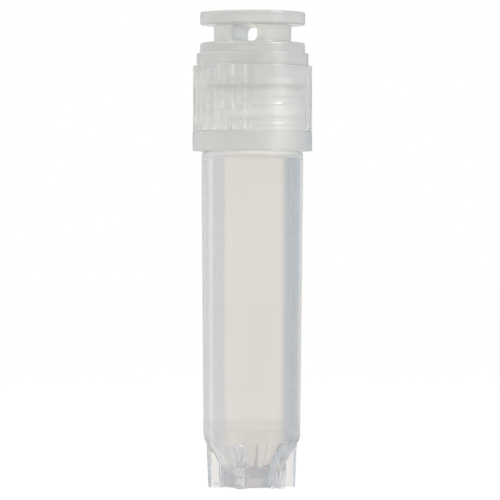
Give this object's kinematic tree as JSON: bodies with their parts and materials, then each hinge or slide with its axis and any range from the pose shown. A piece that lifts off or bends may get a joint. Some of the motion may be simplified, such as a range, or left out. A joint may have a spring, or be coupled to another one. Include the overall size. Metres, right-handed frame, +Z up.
{
  "type": "cryovial",
  "caption": "Self-standing cryogenic storage vial with a conical bottom, a star foot and an external-thread screw cap that carries a slotted stem and a disc.",
  "frame": {"origin": "middle of the star foot, on the plane that it stands on", "axes": "+Z up along the vial's axis, -Y towards the front"},
  "size_m": [0.0126, 0.0126, 0.0498],
  "materials": {
    "vial_plastic": "natural translucent polypropylene, moulded smooth",
    "cap_plastic": "natural translucent polypropylene, moulded smooth, milky where it is thick",
    "seal_rubber": "clear-white silicone, satin"
  },
  "bodies": {
    "vial": {"vial_tube": "vial_plastic"},
    "seal": {"sealing_washer": "seal_rubber"},
    "cap": {"screw_cap": "cap_plastic"}
  },
  "joints": [
    {"name": "cap_rise", "type": "slide", "parent": "vial", "child": "seal", "axis": [0, 0, 1], "range_m": [0, 0.00347]},
    {"name": "cap_turn", "type": "hinge", "parent": "seal", "child": "cap", "pos_m": [0, 0, 0], "axis": [0, 0, 1], "range_deg": [0, 576]}
  ],
  "couplings": [
    {"joint": "cap_turn", "follows": "cap_rise", "rad_per_m": 2895.5}
  ]
}
